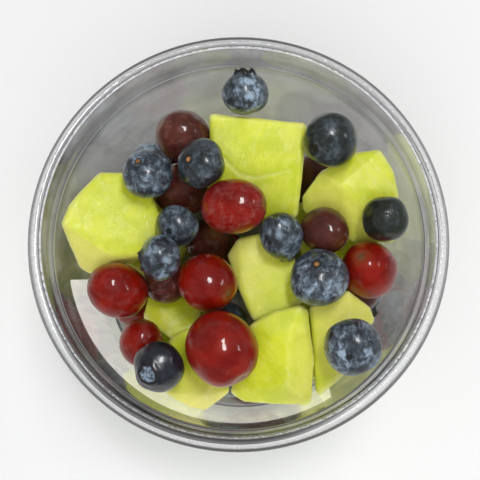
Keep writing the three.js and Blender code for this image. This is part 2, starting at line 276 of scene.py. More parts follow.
def new_material(name):
    material = bpy.data.materials.new(name)
    material.use_nodes = True
    material.node_tree.nodes.clear()
    return material, material.node_tree


def add(tree, kind, **settings):
    """Adds a shader node. A setting names an input, with _ for a space, or a property."""
    node = tree.nodes.new("ShaderNode" + kind)
    for key, value in settings.items():
        socket = node.inputs.get(key.replace("_", " "))
        if socket is None:
            setattr(node, key, value)
        elif isinstance(value, bpy.types.NodeSocket):
            tree.links.new(value, socket)
        else:
            socket.default_value = value
    return node


def colour(red, green, blue):
    """A colour given as 0 to 255 on a screen, as Blender's linear values."""
    def linear(value):
        value /= 255
        return value / 12.92 if value <= 0.04045 else ((value + 0.055) / 1.055) ** 2.4
    return (linear(red), linear(green), linear(blue), 1)


def blended(tree, factor, first, second):
    node = add(tree, "Mix", data_type="RGBA")
    for socket, value in zip((node.inputs[0], node.inputs[6], node.inputs[7]),
                             (factor, first, second)):
        if isinstance(value, bpy.types.NodeSocket):
            tree.links.new(value, socket)
        else:
            socket.default_value = value
    return node.outputs[2]


def computed(tree, operation, first, second=0.0, third=0.0):
    node = add(tree, "Math", operation=operation)
    for socket, value in zip(node.inputs, (first, second, third)):
        if isinstance(value, bpy.types.NodeSocket):
            tree.links.new(value, socket)
        else:
            socket.default_value = value
    return node.outputs[0]


def stepped(tree, value, low, high, to_low=0.0, to_high=1.0):
    """The value eased from to_low at low to to_high at high."""
    node = add(tree, "MapRange", interpolation_type="SMOOTHSTEP", Value=value,
               From_Min=low, From_Max=high, To_Min=to_low, To_Max=to_high)
    return node.outputs[0]


def attribute(tree, name):
    return add(tree, "Attribute", attribute_name=name).outputs["Fac"]


def noise(tree, size, detail=2.0, stretch=(1, 1, 1), rough=0.5, distortion=0.0, own=True):
    """Noise whose features are about size metres across, in the fruit's own frame or the cup's."""
    if own:
        place = add(tree, "Attribute", attribute_name="own").outputs["Vector"]
    else:
        place = add(tree, "TexCoord").outputs["Object"]
    if stretch != (1, 1, 1):
        place = add(tree, "Mapping", Vector=place, Scale=stretch).outputs[0]
    node = add(tree, "TexNoise", Vector=place, Scale=1 / size, Detail=detail,
               Roughness=rough, Distortion=distortion)
    return node.outputs["Fac"]


def spots(tree, spacing):
    """Distance to the nearest of scattered points, in spacings."""
    place = add(tree, "Attribute", attribute_name="own").outputs["Vector"]
    return add(tree, "TexVoronoi", Vector=place, Scale=1 / spacing).outputs["Distance"]


def bumped(tree, height, depth, normal=None):
    node = add(tree, "Bump", Height=height, Strength=1.0, Distance=depth)
    if normal:
        tree.links.new(normal, node.inputs["Normal"])
    return node.outputs[0]


def mixed(tree, factor, first, second):
    node = add(tree, "MixShader", Fac=factor)
    tree.links.new(first, node.inputs[1])
    tree.links.new(second, node.inputs[2])
    return node.outputs[0]


def finished(tree, surface):
    tree.links.new(surface, add(tree, "OutputMaterial").inputs["Surface"])


def melon_material():
    material, tree = new_material("melon_flesh")
    broad = noise(tree, 7 * MM, detail=2)
    blotches = noise(tree, 2.6 * MM, detail=3, stretch=(1, 0.6, 1), distortion=0.4)
    streaks = noise(tree, 1.5 * MM, detail=3, stretch=(1, 0.12, 1), distortion=0.8)
    fine = noise(tree, 0.5 * MM, detail=2)
    flecks = noise(tree, 0.8 * MM, detail=2, stretch=(1, 0.35, 1), distortion=0.8)
    flesh = blended(tree, stepped(tree, broad, 0.35, 0.65),
                    colour(202, 214, 24), colour(220, 228, 52))
    uneven = stepped(tree, broad, 0.2, 0.7, 0.7, 1)
    # Painted shade where deep is, paler flesh and painted light where pale is, and a painted
    # highlight where edge is
    for share, shade in (
        (stepped(tree, blotches, 0.5, 0.7, 0, 0.45), colour(230, 232, 104)),
        (stepped(tree, streaks, 0.52, 0.76, 0, 0.25), colour(238, 236, 130)),
        (stepped(tree, streaks, 0.46, 0.26, 0, 0.3), colour(192, 202, 14)),
        (attribute(tree, "deep"), colour(168, 176, 10)),
        (stepped(tree, flecks, 0.6, 0.76, 0, 0.2), colour(242, 240, 160)),
        (computed(tree, "MULTIPLY", attribute(tree, "pale"), uneven), colour(240, 234, 130)),
        (attribute(tree, "edge"), colour(236, 236, 150)),
    ):
        flesh = blended(tree, share, flesh, shade)
    shape = add(tree, "BsdfPrincipled", Base_Color=flesh, Subsurface_Weight=0.3,
                Subsurface_Radius=(1.0, 0.9, 0.15), Subsurface_Scale=2.5 * MM,
                Specular_IOR_Level=0.25, Coat_Weight=0.8, Coat_Roughness=0.04,
                Roughness=stepped(tree, fine, 0.3, 0.7, 0.4, 0.6))
    relief = bumped(tree, streaks, 0.1 * MM)
    relief = bumped(tree, fine, 0.05 * MM, relief)
    tree.links.new(relief, shape.inputs["Normal"])
    wet = bumped(tree, noise(tree, 1.1 * MM, detail=2), 0.5 * MM)
    tree.links.new(wet, shape.inputs["Coat Normal"])
    finished(tree, shape.outputs[0])
    return material


def grape_material(name, bright, deep, glow):
    material, tree = new_material(name)
    broad = noise(tree, 6 * MM, detail=2)
    veins = noise(tree, 1.2 * MM, detail=2, stretch=(1, 1, 0.25))
    skin = blended(tree, stepped(tree, broad, 0.35, 0.7), deep, bright)
    skin = blended(tree, stepped(tree, veins, 0.5, 0.75, 0, 0.3), skin, deep)
    specks = stepped(tree, spots(tree, 1.3 * MM), 0.14, 0.06, 0, 0.25)
    skin = blended(tree, specks, skin, colour(168, 84, 56))
    skin = blended(tree, attribute(tree, "stem"), skin, colour(120, 78, 24))
    skin = blended(tree, attribute(tree, "scar"), skin, colour(104, 72, 40))
    cloud = noise(tree, 2.4 * MM, detail=5, rough=0.7)
    bloom = computed(tree, "MULTIPLY", attribute(tree, "bloom"), stepped(tree, cloud, 0.45, 0.75))
    skin = blended(tree, bloom, skin, colour(170, 116, 110))
    shape = add(tree, "BsdfPrincipled", Base_Color=skin, Subsurface_Weight=glow,
                Subsurface_Radius=(1.0, 0.22, 0.1), Subsurface_Scale=2 * MM,
                Specular_IOR_Level=0.12, Coat_Weight=0.6, Coat_Roughness=0.02,
                Roughness=stepped(tree, bloom, 0, 0.4, 0.35, 0.5))
    relief = bumped(tree, noise(tree, 1.6 * MM, detail=2), 0.05 * MM)
    tree.links.new(relief, shape.inputs["Normal"])
    tree.links.new(relief, shape.inputs["Coat Normal"])
    finished(tree, shape.outputs[0])
    return material


def berry_bloom(tree, clouds, scuffs, grain):
    """How much pale bloom is on the skin, from 0 to 1."""
    rubbed = noise(tree, 6 * MM, detail=2, distortion=0.6)
    bloom = computed(tree, "MULTIPLY", stepped(tree, rubbed, 0.38, 0.62, 0.15, 1),
                     stepped(tree, clouds, 0.38, 0.68, 0.08, 0.75))
    bloom = computed(tree, "ADD", bloom, stepped(tree, scuffs, 0.54, 0.74, 0, 0.3))
    bloom = computed(tree, "ADD", bloom, stepped(tree, grain, 0.3, 0.7, -0.03, 0.03))
    bloom = computed(tree, "MULTIPLY", bloom, attribute(tree, "bloom"))
    dusty = stepped(tree, scuffs, 0.4, 0.58, 0.15, 1)
    dusty = computed(tree, "MULTIPLY", attribute(tree, "well"), dusty)
    bloom = computed(tree, "ADD", bloom, dusty)
    return computed(tree, "MINIMUM", computed(tree, "MAXIMUM", bloom, 0.0), 1.0)


def blueberry_material():
    """Dark skin under an uneven pale bloom, rubbed off in places."""
    material, tree = new_material("blueberry_skin")
    clouds = noise(tree, 2.2 * MM, detail=4, rough=0.65, distortion=0.6)
    scuffs = noise(tree, 1.2 * MM, detail=3, stretch=(1, 1, 0.4), distortion=0.8)
    grain = noise(tree, 0.35 * MM, detail=2)
    bloom = berry_bloom(tree, clouds, scuffs, grain)
    bare = blended(tree, attribute(tree, "green"), colour(23, 26, 34), colour(24, 31, 18))
    skin = blended(tree, bloom, bare, colour(158, 178, 196))
    # Painted shade in the stem hollow and the dents
    skin = blended(tree, attribute(tree, "dent"), skin, colour(24, 28, 24))
    skin = blended(tree, attribute(tree, "crown"), skin, colour(32, 28, 30))
    skin = blended(tree, attribute(tree, "scar"), skin, colour(186, 128, 68))
    shape = add(tree, "BsdfPrincipled", Base_Color=skin, Specular_IOR_Level=0.5,
                Coat_Weight=0.4, Coat_Roughness=0.05,
                Roughness=stepped(tree, bloom, 0, 1, 0.3, 0.42))
    relief = bumped(tree, clouds, 0.08 * MM)
    relief = bumped(tree, grain, 0.02 * MM, relief)
    tree.links.new(relief, shape.inputs["Normal"])
    tree.links.new(bumped(tree, scuffs, 0.05 * MM), shape.inputs["Coat Normal"])
    finished(tree, shape.outputs[0])
    return material


def along(tree, direction):
    """How far a point is along a direction, in the cup's frame."""
    place = add(tree, "TexCoord").outputs["Object"]
    node = add(tree, "VectorMath", operation="DOT_PRODUCT")
    tree.links.new(place, node.inputs[0])
    node.inputs[1].default_value = tuple(direction)
    return node.outputs["Value"]


def label_cover(tree):
    """1 on the wall where the label is stuck to it, 0 elsewhere."""
    ahead = np.array((math.cos(LABEL_MIDDLE), math.sin(LABEL_MIDDLE), 0))
    aside = along(tree, (-ahead[1], ahead[0], 0))
    height = along(tree, UP)
    turn = computed(tree, "ABSOLUTE", computed(tree, "ARCTAN2", aside, along(tree, ahead)))
    radius = computed(tree, "MULTIPLY_ADD", height, WALL_SLOPE, inside_radius(0) + WALL)
    length = computed(tree, "MULTIPLY", turn, radius)
    blur = 0.3 * MM
    cover = stepped(tree, length, LABEL_HALF_LENGTH - blur, LABEL_HALF_LENGTH, 1, 0)
    share = computed(tree, "DIVIDE", length, LABEL_HALF_LENGTH)
    rise = computed(tree, "MULTIPLY", computed(tree, "POWER", share, 2.0), LABEL_RISE)
    level = computed(tree, "SUBTRACT", height, rise)
    for low, high in ((LABEL_BOTTOM, LABEL_BOTTOM + blur), (LABEL_TOP, LABEL_TOP - blur)):
        cover = computed(tree, "MULTIPLY", cover, stepped(tree, level, low, high))
    return cover


def round_the_rim(tree):
    """Fine radial ribs and uneven spokes round the cup's axis, each from 0 to 1."""
    place = add(tree, "TexCoord").outputs["Object"]
    turn = add(tree, "TexGradient", gradient_type="RADIAL", Vector=place).outputs["Fac"]
    ribs = computed(tree, "SINE", computed(tree, "MULTIPLY", turn, RIM_RIBS * 2 * math.pi))
    flat = add(tree, "VectorMath", operation="MULTIPLY")
    tree.links.new(place, flat.inputs[0])
    flat.inputs[1].default_value = (1, 1, 0)
    way = add(tree, "VectorMath", operation="NORMALIZE")
    tree.links.new(flat.outputs[0], way.inputs[0])
    spokes = add(tree, "TexNoise", Vector=way.outputs[0], Scale=RIM_RADIUS / (0.9 * MM), Detail=4)
    return stepped(tree, ribs, -1, 1), stepped(tree, spokes.outputs["Fac"], 0.3, 0.7)


def painted_tint_shade(tree, facing):
    """How dark the plastic's tint is painted, from 0 to 1: painted shade most where it is looked
    along, on its ledge, on its darker side and on the shaded side above the label, varied by
    random clouds, and none where the label is stuck to it."""
    clouds = noise(tree, 12 * MM, detail=4, own=False)
    darker_side = along(tree, unit(DARKER_SIDE))
    tint_shade = computed(tree, "MAXIMUM", stepped(tree, facing, 0.05, 1), attribute(tree, "haze"))
    for share in (
        stepped(tree, clouds, 0.3, 0.7, 0.88, 1.1),
        stepped(tree, darker_side, -RIM_RADIUS, RIM_RADIUS, 0.88, 1.26),
        computed(tree, "MULTIPLY_ADD", attribute(tree, "soil"), 0.22, 1.0),
        computed(tree, "SUBTRACT", 1.0, label_cover(tree)),
    ):
        tint_shade = computed(tree, "MULTIPLY", tint_shade, share)
    return computed(tree, "MINIMUM", tint_shade, 1.0)


def plastic_relief(tree, ribs, spokes):
    streaks = noise(tree, 2 * MM, detail=3, stretch=(1, 1, 0.15), own=False)
    relief = bumped(tree, streaks, 0.01 * MM)
    ribbed = computed(tree, "ADD", ribs, spokes)
    ribbed = computed(tree, "MULTIPLY", ribbed, attribute(tree, "frost"))
    return bumped(tree, ribbed, 0.04 * MM, relief)


def frost_and_painted_light(tree, ribs, spokes, rim_shade):
    """How opaque and milky the plastic is, from 0 to 1: the frosted rim band, painted highlight
    lines on the lip and the ledge, and the rim's painted shade.
    """
    beads = noise(tree, 1.1 * MM, detail=3, own=False)
    frosted = computed(tree, "MULTIPLY", ribs, stepped(tree, spokes, 0, 1, 0.2, 0.4))
    frosted = computed(tree, "ADD", frosted, 0.3)
    opaque_share = computed(tree, "MULTIPLY", attribute(tree, "frost"), frosted)
    beaded = stepped(tree, beads, 0.35, 0.6, 0.35, 0.9)
    lip = computed(tree, "MULTIPLY", attribute(tree, "lip"), beaded)
    for mark in (lip, attribute(tree, "line"), rim_shade):
        opaque_share = computed(tree, "MAXIMUM", opaque_share, mark)
    return opaque_share


def clear_plastic_material():
    """Clear plastic, darker where it is looked along, with a finely ribbed rim. Shadow rays
    and diffuse rays pass straight through, so that light reaches the fruit."""
    material, tree = new_material("clear_plastic")
    facing = add(tree, "LayerWeight", Blend=0.5).outputs["Facing"]
    ribs, spokes = round_the_rim(tree)
    relief = plastic_relief(tree, ribs, spokes)
    rim_shade = attribute(tree, "dark")
    tint = blended(tree, painted_tint_shade(tree, facing), CLEAR, SHADE_TINT)
    clean_rim = stepped(tree, along(tree, UP), LEDGE_HEIGHT, RIM_TOP - 4 * MM, 0.07, 0.04)
    solid = add(tree, "BsdfPrincipled", Base_Color=tint, Roughness=clean_rim, IOR=1.62,
                Transmission_Weight=1.0)
    tree.links.new(relief, solid.inputs["Normal"])
    # Opaque milky plastic for the frosted band, the painted highlight lines and the painted shade
    milky = add(tree, "BsdfPrincipled", Base_Color=blended(tree, rim_shade, FROST_AND_HIGHLIGHT, RIM_SHADE_COLOUR),
                Roughness=0.35)
    tree.links.new(relief, milky.inputs["Normal"])
    opaque_share = frost_and_painted_light(tree, ribs, spokes, rim_shade)
    surface = mixed(tree, opaque_share, solid.outputs[0], milky.outputs[0])
    lit_tint = blended(tree, stepped(tree, facing, 0.2, 0.95), (0.97, 0.97, 0.97, 1),
                       (0.4, 0.4, 0.4, 1))
    through = add(tree, "BsdfTransparent", Color=lit_tint)
    path = add(tree, "LightPath").outputs
    lit = computed(tree, "MAXIMUM", path["Is Shadow Ray"], path["Is Diffuse Ray"])
    finished(tree, mixed(tree, lit, surface, through.outputs[0]))
    return material


def label_material():
    """Paper, bare on its stuck face and with a green band on its outer one."""
    material, tree = new_material("label_paper")
    fibres = noise(tree, 2.2 * MM, detail=4, stretch=(1, 1, 0.12), rough=0.6, own=False)
    back = blended(tree, stepped(tree, fibres, 0.35, 0.7), colour(226, 224, 226),
                   colour(242, 242, 240))
    band = attribute(tree, "band")
    front = blended(tree, band, colour(236, 236, 228), colour(112, 158, 92))
    side = attribute(tree, "front")
    paper = blended(tree, side, back, front)
    inside = computed(tree, "SUBTRACT", 1.0, side)
    # Painted light: the stuck face glows white, as the lamps leave it too dark
    shape = add(tree, "BsdfPrincipled", Base_Color=paper, Roughness=0.55, Emission_Color=back,
                Emission_Strength=computed(tree, "MULTIPLY", inside, LABEL_BACK_GLOW))
    tree.links.new(bumped(tree, fibres, 0.05 * MM), shape.inputs["Normal"])
    lit_through = add(tree, "BsdfTranslucent", Color=paper)
    finished(tree, mixed(tree, LABEL_LIGHT_THROUGH, shape.outputs[0], lit_through.outputs[0]))
    return material


def floor_material():
    material, tree = new_material("pale_floor")
    shape = add(tree, "BsdfPrincipled", Base_Color=(0.93, 0.93, 0.93, 1), Roughness=0.6,
                Specular_IOR_Level=0.2)
    finished(tree, shape.outputs[0])
    return material


# --------------------------------------------------------------------- cup

def outside_profile():
    """From the middle of the underside up to the foot of the rim's skirt."""
    outer_base = BASE_RADIUS + WALL
    mouth_outside = MOUTH_RADIUS + WALL
    edge_underside = EDGE_HEIGHT - WALL / 2
    skirt_inside = RIM_RADIUS - SKIRT_WALL
    skirt_foot = RIM_TOP - SKIRT_DROP
    line = [(0, FLOOR_LIFT), (FLOOR_RADIUS, FLOOR_LIFT)]
    line += bend(line[-1], (FOOT_INSIDE, FLOOR_LIFT), (FOOT_INSIDE, 0), BEND_STEPS)
    line += [(FOOT_RADIUS, 0)]
    line += bend(line[-1], (outer_base, 0), (outer_base, CORNER_HEIGHT), BEND_STEPS)
    line += straight(line[-1], (WALL_TOP_RADIUS + WALL, BELOW_LEDGE - WALL), WALL_STEPS)
    line += bend(line[-1], (LEDGE_RADIUS + WALL, LEDGE_HEIGHT - WALL),
                 (LEDGE_RADIUS + WALL + 0.4 * MM, LEDGE_HEIGHT - 0.4 * MM), FINE_STEPS)
    line += bend(line[-1], (SEAT_RADIUS + WALL - 0.2 * MM, LEDGE_HEIGHT + 0.6 * MM),
                 (SEAT_RADIUS + WALL, LEDGE_HEIGHT + 2.1 * MM), FINE_STEPS)
    line += [(mouth_outside, SHOULDER - WALL)]
    line += bend(line[-1], (mouth_outside, RIM_TOP - WALL),
                 (skirt_inside - WALL, edge_underside), BEND_STEPS)
    line += bend(line[-1], (skirt_inside, edge_underside),
                 (skirt_inside, edge_underside - WALL), BEND_STEPS)
    line += [(skirt_inside, skirt_foot), (RIM_RADIUS, skirt_foot)]
    return line


def inside_profile():
    """From the rim's outer edge over its top and down to the middle of the floor."""
    floor_top = FLOOR_LIFT + WALL
    groove = MOUTH_RADIUS + RIM_GROOVE
    line = [(RIM_RADIUS, EDGE_HEIGHT - RIM_ROUNDING)]
    line += bend(line[-1], (RIM_RADIUS, EDGE_HEIGHT),
                 (RIM_RADIUS - RIM_ROUNDING, RIM_TOP - 0.45 * MM), FINE_STEPS)
    line += bend(line[-1], (groove + 0.7 * MM, RIM_TOP - 0.1 * MM),
                 (groove, RIM_TOP - 0.6 * MM), FINE_STEPS)
    line += bend(line[-1], (groove - 0.2 * MM, RIM_TOP),
                 (MOUTH_RADIUS + 0.5 * MM, RIM_TOP), BEND_STEPS)
    line += bend(line[-1], (MOUTH_RADIUS, RIM_TOP),
                 (MOUTH_RADIUS, RIM_TOP - 0.5 * MM), BEND_STEPS)
    line += [(MOUTH_RADIUS, SHOULDER), (SEAT_RADIUS, LEDGE_HEIGHT + 2.4 * MM)]
    line += bend(line[-1], (SEAT_RADIUS - 0.3 * MM, LEDGE_HEIGHT + 1 * MM),
                 (LEDGE_RADIUS + 0.5 * MM, LEDGE_HEIGHT + 0.3 * MM), FINE_STEPS)
    line += bend(line[-1], (LEDGE_RADIUS, LEDGE_HEIGHT), (WALL_TOP_RADIUS, BELOW_LEDGE),
                 FINE_STEPS)
    line += straight(line[-1], (BASE_RADIUS, CORNER_HEIGHT), WALL_STEPS)
    line += bend(line[-1], (BASE_RADIUS, WALL), (FOOT_RADIUS, WALL), BEND_STEPS)
    line += [(FOOT_INSIDE + WALL, WALL)]
    line += bend(line[-1], (FOOT_INSIDE + WALL, floor_top), (FLOOR_RADIUS, floor_top),
                 BEND_STEPS)
    line += [(0, floor_top)]
    return line


def mark_rim(cup, places, reach, shaded):
    """Stores where the rim's top is frosted, with a pale lip line as painted highlight and a dark
    outline and groove as painted shade. Its bands are given as shares of the rim's radius; on the
    shaded side the painted shade is darker and wider, and the frost and the lip line are narrower
    and fainter."""
    share = reach / RIM_RADIUS
    backwards = places[:, 1] / np.maximum(reach, MM)
    leaning = share + RIM_LEAN * backwards
    on_top = smoothstep(0.1, 0.4, normals_of(cup.data)[:, 2])
    on_top = on_top * (places[:, 2] > RIM_TOP - 3 * MM)
    clean_from = 0.957 + 0.011 * shaded
    band = smoothstep(clean_from, clean_from + 0.007, share) * smoothstep(0.988, 0.98, share)
    groove = smoothstep(0.939, 0.943, share)
    groove = groove * smoothstep(clean_from, clean_from - 0.005, share)
    # Painted highlight: a pale line along the mouth's lip
    lip = smoothstep(0.929, 0.932, share) * smoothstep(0.941, 0.938, share)
    # Painted shade: a dark outline at the rim's edge, wider at the back and strongest at front and
    # back, and a dark groove
    outline = smoothstep(0.977, 0.982, leaning)
    outline *= 0.6 + 0.35 * np.abs(backwards)
    paint(cup, "frost", on_top * band)
    paint(cup, "lip", on_top * lip * (1 - 0.6 * shaded))
    paint(cup, "dark", on_top * np.maximum(outline, (0.6 + 0.35 * shaded) * groove))


def mark_wall(cup, places, reach, shaded):
    """Stores painted shade on the ledge, a painted highlight line at its inner edge, and painted
    shade on the wall above the label on the shaded side.
    """
    height = places[:, 2]
    shelf = smoothstep(LEDGE_RADIUS - 0.8 * MM, LEDGE_RADIUS - 0.2 * MM, reach)
    shelf *= (reach < MOUTH_RADIUS + WALL) & (np.abs(height - LEDGE_HEIGHT) < 3 * MM)
    paint(cup, "haze", LEDGE_SHADE * shelf)
    paint(cup, "soil", shaded * smoothstep(LABEL_TOP - 2 * MM, LABEL_TOP + 2 * MM, height))
    # Painted highlight: a pale line at the ledge's inner edge
    inner = np.abs(reach - LEDGE_RADIUS) < 0.3 * MM
    level = np.abs(height - LEDGE_HEIGHT) < 0.3 * MM
    paint(cup, "line", 0.4 * (inner & level))


def make_cup(material):
    points, faces = spun(outside_profile() + inside_profile(), CUP_SIDES)
    cup = make_piece("cup_body", points, faces, material, ["cup"])
    cup.data.set_sharp_from_angle(angle=math.radians(50))
    places = np.array(points)
    reach = np.hypot(places[:, 0], places[:, 1])
    # Painted shade: how far each point lies towards the shaded side
    shaded = smoothstep(0.55, 0.95, places @ SHADED_SIDE / np.maximum(reach, MM))
    mark_rim(cup, places, reach, shaded)
    mark_wall(cup, places, reach, shaded)


def label_points(columns, rows):
    """The strip's points, column by column, for its stuck face and then its outer one, and
    each point's share of the label's height."""
    side = LABEL_HALF_LENGTH - LABEL_CORNER
    points = []
    shares = []
    for standoff in (-LABEL_GLUE_DEPTH, LABEL_STANDOFF + LABEL_THICKNESS):
        for length in columns:
            rise = LABEL_RISE * (length / LABEL_HALF_LENGTH) ** 2
            past = max(0, abs(length) - side) / LABEL_CORNER
            inset = LABEL_CORNER * (1 - math.sqrt(max(0, 1 - past * past)))
            low, high = LABEL_BOTTOM + rise + inset, LABEL_TOP + rise - inset
            for row in range(rows + 1):
                height = low + (high - low) * row / rows
                radius = inside_radius(height) + WALL + standoff
                turn = LABEL_MIDDLE + length / (inside_radius(height) + WALL)
                points.append((radius * math.cos(turn), radius * math.sin(turn), height))
                shares.append((height - rise - LABEL_BOTTOM) / (LABEL_TOP - LABEL_BOTTOM))
    return points, np.array(shares)


def strip_faces(count, rows):
    """Faces of two sheets of count columns, one behind the other, closed round their edge."""
    layer = count * (rows + 1)

    def inner(column, row):
        return column * (rows + 1) + row

    faces = []
    for c in range(count - 1):
        for r in range(rows):
            quad = [inner(c, r), inner(c + 1, r), inner(c + 1, r + 1), inner(c, r + 1)]
            faces.append(quad)
            faces.append([layer + i for i in quad[::-1]])
    edge = [inner(c, 0) for c in range(count)]
    edge += [inner(count - 1, r) for r in range(1, rows + 1)]
    edge += [inner(c, rows) for c in range(count - 2, -1, -1)]
    edge += [inner(0, r) for r in range(rows - 1, 0, -1)]
    for a, b in zip(edge, edge[1:] + edge[:1]):
        faces.append([b, a, layer + a, layer + b])
    return faces


def make_label(material):
    """The paper strip outside the wall, with round corners."""
    side = LABEL_HALF_LENGTH - LABEL_CORNER
    quarter = np.linspace(0, math.pi / 2, LABEL_CORNER_COLUMNS)[1:]
    ends = np.sin(quarter) * LABEL_CORNER + side
    middle = np.linspace(-side, side, LABEL_COLUMNS)
    columns = np.concatenate([-ends[::-1], middle, ends])
    points, shares = label_points(columns, LABEL_ROWS)
    faces = strip_faces(len(columns), LABEL_ROWS)
    label = make_piece("label_strip", points, faces, material, ["label"])
    paint(label, "band", (shares < LABEL_BAND).astype(float))
    paint(label, "front", np.repeat([0.0, 1.0], len(points) // 2))
    label.data.set_sharp_from_angle(angle=math.radians(50))


# ------------------------------------------------------------------- fruit

def measured(node):
    """A turned fruit's centre, axis, width and length, from its solid. The axis points
    at the stem or crown, which is the pole with the shorter spokes."""
    solid = bmesh.new()
    solid.from_mesh(frame["nodes"][node].data)
    bmesh.ops.remove_doubles(solid, verts=solid.verts, dist=1e-6)
    poles = sorted(solid.verts, key=lambda v: len(v.link_edges))[-2:]
    poles.sort(key=lambda v: sum(e.calc_length() for e in v.link_edges))
    top, bottom = (np.array(pole.co) for pole in poles)
    points = np.array([v.co for v in solid.verts])
    solid.free()
    axis = unit(top - bottom)
    lengthwise = (points - bottom) @ axis
    across = np.linalg.norm(points - bottom - lengthwise[:, None] * axis, axis=1)
    length = lengthwise.max()
    return bottom + axis * length / 2, axis, 2 * across.max(), length


def globe(rings, sides, crowding=1.0):
    """Angles from the top pole and round the axis for a globe's points, and its faces.
    Crowding above 1 draws the rings towards the poles."""
    shares = np.linspace(-1, 1, rings + 1)
    polar = (np.sign(shares) * (1 - (1 - abs(shares)) ** crowding) + 1) * math.pi / 2
    turns = np.arange(sides) * 2 * math.pi / sides
    theta = np.concatenate([[0], np.repeat(polar[1:-1], sides), [math.pi]])
    phi = np.concatenate([[0], np.tile(turns, rings - 1), [0]])
    last = len(theta) - 1
    faces = []
    for i in range(sides):
        j = (i + 1) % sides
        faces.append([0, 1 + i, 1 + j])
        faces.append([last, last - sides + j, last - sides + i])
        for ring in range(rings - 2):
            a = 1 + ring * sides
            faces.append([a + i, a + sides + i, a + sides + j, a + j])
    return theta, phi, faces


def seed_of(node):
    return sum(map(ord, node))


def placed(local, centre, axis):
    """Turns points whose own axis is +Z to the axis, and moves them to the centre."""
    turn = Vector((0, 0, 1)).rotation_difference(Vector(axis)).to_matrix()
    return local @ np.array(turn).T + centre


def scattered(places, seed):
    """Places moved off by a random step, so that no two fruits have the same grain."""
    return places + np.random.default_rng(seed).uniform(-1, 1, 3) * 0.4


def make_grape(node, material, bloom):
    seed = seed_of(node)
    centre, axis, width, length = measured(node)
    theta, phi, faces = globe(56, 64)
    reach = width / 2 * np.sin(theta) * (1 - 0.03 * np.cos(theta))
    height = length / 2 * np.cos(theta)
    near_stem = np.where(theta < math.pi / 2, reach, 1)
    near_tip = np.where(theta > math.pi / 2, reach, 1)
    scar = smoothstep(1.15 * MM, 0.8 * MM, near_stem)
    height -= 0.55 * MM * np.exp(-(near_stem / (1.7 * MM)) ** 2)
    height += 0.25 * MM * scar * (0.6 + 0.4 * np.cos(3 * phi))
    height += 0.18 * MM * np.exp(-(near_tip / (0.6 * MM)) ** 2)
    local = np.stack([reach * np.cos(phi), reach * np.sin(phi), height], 1)
    outward = local / np.linalg.norm(local, axis=1, keepdims=True)
    local += outward * (ripples(local, 13 * MM, seed)[:, None] * 0.12 * MM - 0.12 * MM)
    local += outward * ripples(local, 4 * MM, seed + 1)[:, None] * 0.02 * MM
    grape = make_piece(node + "_skin", placed(local, centre, axis), faces, material, [node])
    paint(grape, "stem", 0.35 * smoothstep(4.5 * MM, 1 * MM, near_stem))
    paint(grape, "scar", np.maximum(scar, smoothstep(0.5 * MM, 0.3 * MM, near_tip)))
    paint(grape, "bloom", np.full(len(theta), bloom))
    paint_place(grape, scattered(local, seed))


def dented(points, centre, width, dents):
    """Presses dents into the points, and tells how dark each point is painted for them, as painted
    shade in the dents.
    """
    dark = np.zeros(len(points))
    for direction, size in dents:
        spot = centre + unit(direction) * width / 2
        distance = np.linalg.norm(points - spot, axis=1)
        points -= unit(direction) * np.exp(-(distance / size) ** 2)[:, None] * 0.35 * size
        dark = np.maximum(dark, 0.9 * smoothstep(size, 0.4 * size, distance))
    return dark


def make_blueberry(node, material, bloom=0.8, dents=(), plug=0.0, ring=0.0, crown=1.0,
                   well=0.0, green=0.0):
    """A berry with a five-lobed crown round a well, and a stem scar at the far end. Plug
    tells how orange the scar's middle is, ring how pale the skin round it, crown how much
    of the crown is left, well how much bloom is in its well and green how green its skin."""
    seed = seed_of(node)
    rng = np.random.default_rng(seed)
    centre, axis, width, length = measured(node)
    theta, phi, faces = globe(72, 80, crowding=1.35)
    reach = width / 2 * np.sin(theta)
    height = length / 2 * np.cos(theta)
    top_reach = np.where(theta < math.pi / 2, reach, 1)
    end_reach = np.where(theta > math.pi / 2, reach, 1)
    crown_radius = 0.19 * width
    lobes = np.abs(np.cos(2.5 * (phi + rng.uniform(0, 6)))) ** 0.6
    ragged = 1 + crown * (0.12 * np.sin(3 * phi + rng.uniform(0, 6)) + 0.08 * np.sin(7 * phi))
    from_ring = top_reach / (crown_radius * ragged) - 1
    edge = np.exp(-(from_ring / 0.17) ** 2)
    inside = smoothstep(0.05, -0.25, from_ring)
    height += crown * (edge * (0.3 + 0.7 * crown * lobes) - inside * 0.8) * MM
    dimple = np.exp(-(end_reach / (1.5 * MM)) ** 2)
    stub = smoothstep(0.85 * MM, 0.5 * MM, end_reach)
    height += (dimple * (0.3 + 0.3 * plug) - stub * 0.3 * plug) * MM
    local = np.stack([reach * np.cos(phi), reach * np.sin(phi), height], 1)
    outward = local / np.linalg.norm(local, axis=1, keepdims=True)
    away = np.minimum(smoothstep(0.2, 0.6, from_ring), 1 - dimple)
    swell = ripples(local, 9 * MM, seed) * 0.14 * MM - 0.12 * MM
    local += outward * (swell * away)[:, None]
    points = placed(local, centre, axis)
    # Painted shade: the hollow round the stem scar is darker
    hollow = (1.1 + 1 * plug) * MM
    dark = 0.97 * smoothstep(hollow, 0.7 * hollow, end_reach)
    dark = np.maximum(dark, dented(points, centre, width, dents))
    clear_ring = min(ring, 1) * smoothstep(0.95 * MM, 1.15 * MM, end_reach)
    berry = make_piece(node + "_skin", points, faces, material, [node])
    paint(berry, "crown", np.clip(edge * 1.8 * crown, 0, 1))
    paint(berry, "scar", stub * plug)
    paint(berry, "dent", dark * (1 - clear_ring))
    halo = np.exp(-((end_reach / MM - 1.4) / 0.25) ** 2)
    paint(berry, "bloom", np.full(len(points), bloom))
    paint(berry, "well", np.maximum(well * smoothstep(-0.1, -0.3, from_ring), ring * halo))
    paint(berry, "green", np.full(len(points), green))
    paint_place(berry, scattered(local, seed))


